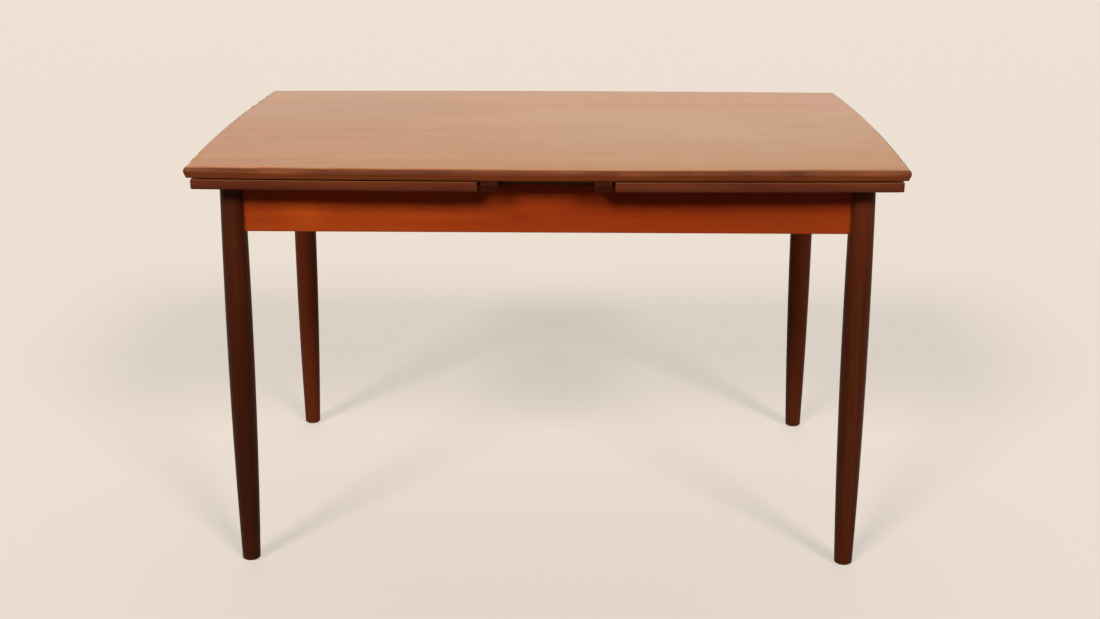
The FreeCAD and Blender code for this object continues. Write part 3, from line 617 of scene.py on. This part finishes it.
def addRound(radius, height, middle, sides):
    bpy.ops.object.select_all(action="DESELECT")
    bpy.ops.mesh.primitive_cylinder_add(vertices=sides, radius=radius, depth=height, location=middle,
                                        end_fill_type="NGON")
    return bpy.context.object


def settle(piece):                       # its place goes into its mesh
    bpy.ops.object.select_all(action="DESELECT")
    piece.select_set(True)
    bpy.context.view_layer.objects.active = piece
    bpy.ops.object.transform_apply(location=True, rotation=True, scale=True)
    bpy.ops.object.shade_smooth_by_angle(angle=smoothAngle)
    return piece


def solidsOf(name):                      # the points of each separate solid of a node, in a fixed order
    mesh = bmesh.new()
    mesh.from_mesh(nodes[name].data)
    bmesh.ops.remove_doubles(mesh, verts=mesh.verts, dist=weldReach)
    left = set(mesh.verts)
    solids = []
    while left:
        found = [left.pop()]
        for corner in found:
            for edge in corner.link_edges:
                other = edge.other_vert(corner)
                if other in left:
                    left.remove(other)
                    found.append(other)
        solids.append([corner.co.copy() for corner in found])
    mesh.free()
    return sorted(solids, key=lambda points: tuple(round(value, 4) for value in middleOf(points)))


def middleOf(points):
    return Vector([(min(values) + max(values)) / 2 for values in zip(*points)])


def spansOf(points):
    return [max(values) - min(values) for values in zip(*points)]


def footOf(points):                      # the middle of the lowest level
    foot = middleOf(points)
    foot.z = min(point.z for point in points)
    return foot


def copyTo(model, name, place, body, replaced):        # place: the matrix that takes the model there
    piece = model.copy()
    piece.data = model.data.copy()
    piece.name = name
    piece.data.name = name
    bpy.context.collection.objects.link(piece)
    piece.data.transform(place)
    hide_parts(replaced)
    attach(piece, body)
    return piece


def standing(way, foot):                 # stands a model made along +Z on a point, along a direction
    return Matrix.Translation(foot) @ way.to_track_quat("Z", "Y").to_matrix().to_4x4()


# Wood screws, slotted and countersunk, head face at the origin and tip below

screwSet = {
    "length": 0.040, "shank": 0.0020, "head": 0.0040, "rim": 0.0003, "headHeight": 0.0030,
    "plain": 0.011, "pitch": 0.0018, "flank": 0.35, "root": 0.74, "tip": 0.005, "point": 0.05,
    "slotWidth": 0.0009, "slotDepth": 0.0012, "sides": 24,
}


def makeScrew():
    size = screwSet
    screw = addRound(size["head"], size["rim"], (0, 0, -size["rim"] / 2), size["sides"])
    startEdit()
    pickBottom()
    pushOut(size["rim"] - size["headHeight"], size["shank"] / size["head"])
    pushOut(-size["plain"], 1)
    threaded = size["length"] - size["headHeight"] - size["plain"] - size["tip"]
    cutThread(round(threaded / size["pitch"]), -size["pitch"], size["flank"], size["root"])
    pushOut(-size["tip"], size["point"])
    endEdit()
    bpy.ops.mesh.primitive_cube_add(size=1, location=(0, 0, 0))
    slotCutter = bpy.context.object
    slotCutter.scale = (size["head"] * 3, size["slotWidth"], size["slotDepth"] * 2)
    cutWith(screw, slotCutter)
    screw.data.materials.append(finishes["screwSteel"])
    return settle(screw)


def placeScrews(model, node, body, word):
    for number, points in enumerate(solidsOf(node), 1):
        middle, spans = middleOf(points), spansOf(points)
        axis = spans.index(max(spans))
        way = Vector([1 if index == axis else 0 for index in range(3)])
        reach = spans[axis] * 0.49               # nearly out to either end
        ends = [[point for point in points if (point - middle).dot(way * side) > reach] for side in (1, -1)]
        if len(ends[0]) < len(ends[1]):          # the head's end has the ring of points
            way.negate()
        copyTo(model, f"{word}_{number}", standing(way, middle + way * spans[axis] / 2),
               body, node)


woodScrew = makeScrew()
placeScrews(woodScrew, "corner_block_screws", "frame", "blockScrew")
placeScrews(woodScrew, "rail_screws", "frame", "railScrew")
for side in ("left", "right"):
    placeScrews(woodScrew, f"{side}_leaf_bearer_screws", f"{side}_leaf", f"{side}BearerScrew")
bpy.data.objects.remove(woodScrew)
print("screws modelled")


# Hanger bolts with their washers and nuts, one through each corner block into its leg

boltSet = {"radius": 0.0040, "pitch": 0.00125, "flank": 0.45, "root": 0.86, "threaded": 0.016,
           "point": 0.0008, "sides": 28}
washerSet = {"radius": 0.0110, "thickness": 0.0016, "bore": 0.00406, "ease": 0.0003, "sides": 48}
nutSet = {"radius": 0.0075, "height": 0.0065, "bore": 0.00406, "chamfer": 0.0011, "sides": 6,
          "turned": 1.004, "turnedSides": 48}                # turned: of the radius at its corners


def makeBolt(length):                    # its inner end at the origin, the threaded tail upwards
    size = boltSet
    plain = length - size["threaded"]
    bolt = addRound(size["radius"], plain, (0, 0, plain / 2), size["sides"])
    startEdit()
    pickTop()
    turns = round((size["threaded"] - size["point"]) / size["pitch"])
    cutThread(turns, size["pitch"], size["flank"], size["root"])
    rest = length - plain - turns * size["pitch"]
    pushOut(rest, 1 - rest / size["radius"])
    endEdit()
    bolt.data.materials.append(finishes["boltSteel"])
    return settle(bolt)


def makeWasher():                        # lying on the origin
    size = washerSet
    washer = addRound(size["radius"], size["thickness"], (0, 0, size["thickness"] / 2), size["sides"])
    applyModifier(washer, "BEVEL", width=size["ease"], segments=2, limit_method="ANGLE")
    cutWith(washer, addRound(size["bore"], size["thickness"] * 3, (0, 0, 0), boltSet["sides"]))
    washer.data.materials.append(finishes["boltSteel"])
    return settle(washer)


def makeNut():                           # lying on the origin
    size = nutSet
    middle = (0, 0, size["height"] / 2)
    nut = addRound(size["radius"], size["height"], middle, size["sides"])
    turned = addRound(size["radius"] * size["turned"], size["height"], middle, size["turnedSides"])
    applyModifier(turned, "BEVEL", width=size["chamfer"], segments=1, limit_method="ANGLE",
                  offset_type="WIDTH")
    cutWith(nut, turned, "INTERSECT")
    cutWith(nut, addRound(size["bore"], size["height"] * 3, (0, 0, 0), boltSet["sides"]))
    nut.data.materials.append(finishes["boltSteel"])
    return settle(nut)


def placeCorners(model, node, word):     # each stands along its corner's diagonal, towards the middle
    for number, points in enumerate(solidsOf(node), 1):
        middle = middleOf(points)
        way = Vector((-math.copysign(1, middle.x), -math.copysign(1, middle.y), 0)).normalized()
        foot = min((point - middle).dot(way) for point in points)
        copyTo(model, f"{word}_{number}", standing(way, middle + way * foot), "frame", node)


def boltLength():
    points = solidsOf("hanger_bolts")[0]
    middle = middleOf(points)
    way = Vector((math.copysign(1, middle.x), math.copysign(1, middle.y), 0)).normalized()
    reaches = [(point - middle).dot(way) for point in points]
    return max(reaches) - min(reaches)


for model, node, word in ((makeBolt(boltLength()), "hanger_bolts", "hangerBolt"),
                          (makeWasher(), "bolt_washers", "boltWasher"),
                          (makeNut(), "bolt_nuts", "boltNut")):
    placeCorners(model, node, word)
    bpy.data.objects.remove(model)
print("bolts, washers and nuts modelled")


# Glides nailed under the legs

glideSet = {
    "radius": 0.0110, "face": 0.0080, "height": 0.0035, "rim": 0.0013, "rimRound": 0.35,
    "steps": 5, "faceRings": (0.35, 0.10), "nail": 0.0013, "nailLength": 0.0150, "nailPoint": 0.2,
    "nailTip": 0.1, "sides": 48,
}


def makeGlide():                         # its face on the floor at the origin, the nail upwards
    size = glideSet
    drop = size["height"] - size["rim"]
    glide = addRound(size["radius"], size["rim"], (0, 0, drop + size["rim"] / 2), size["sides"])
    startEdit()
    pickBottom()
    step = quarter / size["steps"]
    wide = size["radius"]
    for number in range(1, size["steps"] + 1):           # the pressed edge curves in to the face
        turn = step * number
        narrow = size["face"] + (size["radius"] - size["face"]) * math.cos(turn)
        pushOut(-drop * (math.sin(turn) - math.sin(turn - step)), narrow / wide)
        wide = narrow
    for ring in size["faceRings"]:
        bpy.ops.mesh.inset(thickness=size["face"] * ring)
    pickTop()
    pushOut(0, size["nail"] / size["radius"])
    pushOut(size["nailLength"] * (1 - size["nailPoint"]), 1)
    pushOut(size["nailLength"] * size["nailPoint"], size["nailTip"])
    pickEdges(lambda corner: abs(corner.z - size["height"]) < weldReach and corner.xy.length > size["face"])
    bpy.ops.mesh.bevel(offset=size["rim"] * size["rimRound"], segments=3)
    endEdit()
    glide.data.materials.append(finishes["glideSteel"])
    return settle(glide)


glideModel = makeGlide()
for corner in ("front_left", "front_right", "rear_left", "rear_right"):
    low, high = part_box(f"{corner}_glide")
    foot = Vector(((low[0] + high[0]) / 2, (low[1] + high[1]) / 2, low[2]))
    copyTo(glideModel, f"glide_{corner}", Matrix.Translation(foot), "frame",
           f"{corner}_glide")
bpy.data.objects.remove(glideModel)
print("glides modelled")


# Pegs, turned with eased noses: guide pegs under the top and stop pegs under the bearers

pegSet = {
    "nose": ((0.45, 0.96), (0.30, 0.88), (0.18, 0.76), (0.07, 0.72)),    # drop, narrowing, of the radius
    "topEase": 0.90, "sides": 32,
}


def makePeg(points):                     # nose downwards, top at the origin
    spans = spansOf(points)
    radius = spans[0] / 2
    peg = addRound(radius, spans[2] - radius, (0, 0, (radius - spans[2]) / 2), pegSet["sides"])
    startEdit()
    pickBottom()
    for drop, narrowing in pegSet["nose"]:
        pushOut(-radius * drop, narrowing)
    pickTop()
    pushOut(0, pegSet["topEase"])
    endEdit()
    peg.data.materials.append(finishes["beechUpright"])
    return settle(peg)


for node, body, word in (("top_guide_pegs", "top", "guidePeg"),
                         ("left_leaf_stop_pegs", "left_leaf", "leftStopPeg"),
                         ("right_leaf_stop_pegs", "right_leaf", "rightStopPeg")):
    pegModel = makePeg(solidsOf(node)[0])
    for number, points in enumerate(solidsOf(node), 1):
        head = middleOf(points)
        head.z = max(point.z for point in points)
        copyTo(pegModel, f"{word}_{number}", Matrix.Translation(head), body, node)
    bpy.data.objects.remove(pegModel)
print("pegs modelled")


# Felt, cut by hand: strips along the aprons under the leaves, round pads on the rails under the top

feltShape = {
    "cell": 0.003, "ease": 0.00025, "unevenness": 0.00012, "lumps": 0.004, "waver": 0.0003,
    "waves": (41, 17), "padRings": 6, "padSides": 64,
    "nearTop": 0.9, "nearRim": 0.95,     # what counts as the upper edge
}


def roughen(piece, top):                 # the upper face swells and sinks a little, the foot stays flat
    group = piece.vertex_groups.new(name="upper")
    group.add([corner.index for corner in piece.data.vertices if corner.co.z > top * 0.5], 1, "REPLACE")
    lumps = bpy.data.textures.new("feltLumps", "CLOUDS")
    lumps.noise_scale = feltShape["lumps"]
    applyModifier(piece, "DISPLACE", texture=lumps, vertex_group="upper", direction="Z", mid_level=1.0,
                  strength=feltShape["unevenness"], texture_coords="LOCAL")


def layFelt(piece, name, place, node):
    piece.name = name
    piece.data.materials.append(finishes["greenFelt"])
    settle(piece)
    piece.data.transform(place)
    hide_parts(node)
    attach(piece, "frame")


def makeStrip(points, name, node):
    length, width, thickness = spansOf(points)
    bpy.ops.object.select_all(action="DESELECT")
    cells = (round(length / feltShape["cell"]), round(width / feltShape["cell"]))
    bpy.ops.mesh.primitive_grid_add(x_subdivisions=cells[0], y_subdivisions=cells[1], size=1)
    strip = bpy.context.object
    strip.scale = (length, width - 2 * feltShape["waver"], 1)
    bpy.ops.object.transform_apply(scale=True)
    bpy.ops.object.mode_set(mode="EDIT")
    bpy.ops.mesh.select_all(action="SELECT")
    bpy.ops.mesh.extrude_region_move(TRANSFORM_OT_translate={"value": (0, 0, thickness)})
    long, short = length / 2 - feltShape["waver"], width / 2 - feltShape["waver"] * 2
    high = thickness * feltShape["nearTop"]
    pickEdges(lambda corner: corner.z > high and (abs(corner.y) > short or abs(corner.x) > long))
    bpy.ops.mesh.bevel(offset=feltShape["ease"], segments=3)
    endEdit()
    for corner in strip.data.vertices:   # the scissors wandered a little
        sway = math.sin(corner.co.x * feltShape["waves"][0]) * math.cos(corner.co.x * feltShape["waves"][1])
        corner.co.y += feltShape["waver"] * sway
    roughen(strip, thickness)
    layFelt(strip, name, Matrix.Translation(footOf(points)), node)


def makePad(points, name, node):
    spans = spansOf(points)
    radius, thickness = spans[0] / 2, spans[2]
    pad = addRound(radius, thickness, (0, 0, thickness / 2), feltShape["padSides"])
    startEdit()
    pickTop()
    for ring in range(1, feltShape["padRings"]):
        bpy.ops.mesh.inset(thickness=radius / feltShape["padRings"])
    high, wide = thickness * feltShape["nearTop"], radius * feltShape["nearRim"]
    pickEdges(lambda corner: corner.z > high and corner.xy.length > wide)
    bpy.ops.mesh.bevel(offset=feltShape["ease"], segments=3)
    endEdit()
    bpy.ops.object.transform_apply(location=True)
    roughen(pad, thickness)
    layFelt(pad, name, Matrix.Translation(footOf(points)), node)


for node, word in (("front_felt_strips", "frontFelt"), ("rear_felt_strips", "rearFelt")):
    for number, points in enumerate(solidsOf(node), 1):
        makeStrip(points, f"{word}_{number}", node)
for number, points in enumerate(solidsOf("rail_felt_pads"), 1):
    makePad(points, f"railPad_{number}", "rail_felt_pads")
print("felt laid")


# Floor, background and lamps

stageSet = {
    "floorSize": 120, "floorRough": 0.9, "floorSpecular": 0.1,
    "floorSeen": (0.40, 0.355, 0.31), "floorBounce": (0.14, 0.105, 0.07),
    "floorGlow": (0.450, 0.413, 0.378),
    "skyTone": (0.95, 0.86, 0.755), "skySeen": 0.88,
    "skyFront": 0.05, "skyRear": 0.30,   # what lights the room from before and behind the table
    "skyTurn": (-0.2, 0.6),              # where the one passes into the other
    "lampAway": 4,
}
# turn: degrees round from straight ahead of the front, rise: above level, spread: how soft its shadow is
lampSets = {
    "leftLamp": {"turn": -28, "rise": 31, "spread": 15, "power": 2.05, "colour": (1.0, 0.96, 0.90)},
    "rightLamp": {"turn": 28, "rise": 31, "spread": 15, "power": 2.05, "colour": (1.0, 0.96, 0.90)},
    "rearLamp": {"turn": 180, "rise": 52, "spread": 45, "power": 0.5, "colour": (1.0, 0.97, 0.93)},
}


def seenDirectly(tree):                  # 1 for what the camera, a gloss or a glass sees
    path = addNode(tree, "ShaderNodeLightPath").outputs
    seen = sums(tree, "MAXIMUM", path["Is Camera Ray"], path["Is Glossy Ray"])
    return sums(tree, "MAXIMUM", seen, path["Is Transmission Ray"])


def makeFloor():
    bpy.ops.mesh.primitive_plane_add(size=stageSet["floorSize"])
    floor = bpy.context.object
    floor.name = "floor"
    material, tree, shader = newMaterial("paleFloor", stageSet["floorSpecular"])
    seen = seenDirectly(tree)
    tones = [(*stageSet[word], 1) for word in ("floorBounce", "floorSeen")]
    give(tree, shader.inputs["Base Color"], blendColours(tree, seen, *tones))
    glow = blendColours(tree, seen, (0, 0, 0, 1), (*stageSet["floorGlow"], 1))
    give(tree, shader.inputs["Emission Color"], glow)
    shader.inputs["Emission Strength"].default_value = 1
    shader.inputs["Roughness"].default_value = stageSet["floorRough"]
    mix = addNode(tree, "ShaderNodeMixShader")           # clear from below, so that the underside shows
    give(tree, mix.inputs["Fac"], addNode(tree, "ShaderNodeNewGeometry").outputs["Backfacing"])
    tree.links.new(shader.outputs[0], mix.inputs[1])
    tree.links.new(addNode(tree, "ShaderNodeBsdfTransparent").outputs[0], mix.inputs[2])
    tree.links.new(mix.outputs[0], tree.nodes["Material Output"].inputs["Surface"])
    floor.data.materials.append(material)


def makeSky():
    world = bpy.data.worlds.new("studio")
    world.use_nodes = True
    bpy.context.scene.world = world
    tree = world.node_tree
    sky = tree.nodes["Background"]
    sky.inputs["Color"].default_value = (*stageSet["skyTone"], 1)
    rearward = partOf(tree, addNode(tree, "ShaderNodeTexCoord").outputs["Generated"], "Y")
    light = spread(tree, rearward, *stageSet["skyTurn"], stageSet["skyFront"], stageSet["skyRear"])
    seen = sums(tree, "MULTIPLY", seenDirectly(tree), sums(tree, "SUBTRACT", stageSet["skySeen"], light))
    give(tree, sky.inputs["Strength"], sums(tree, "ADD", light, seen))


def makeLamps():
    for name, lampSet in lampSets.items():
        turn = math.radians(lampSet["turn"])
        rise = math.radians(lampSet["rise"])
        way = Vector((math.sin(turn) * math.cos(rise), -math.cos(turn) * math.cos(rise), math.sin(rise)))
        bpy.ops.object.light_add(type="SUN", location=way * stageSet["lampAway"])
        lamp = bpy.context.object
        lamp.name = name
        lamp.rotation_euler = way.to_track_quat("Z", "Y").to_euler()
        lamp.data.angle = math.radians(lampSet["spread"])
        lamp.data.energy = lampSet["power"]
        lamp.data.color = lampSet["colour"]


makeFloor()
makeSky()
makeLamps()
bpy.context.scene.view_settings.view_transform = "Standard"
print("floor, background and lamps made")
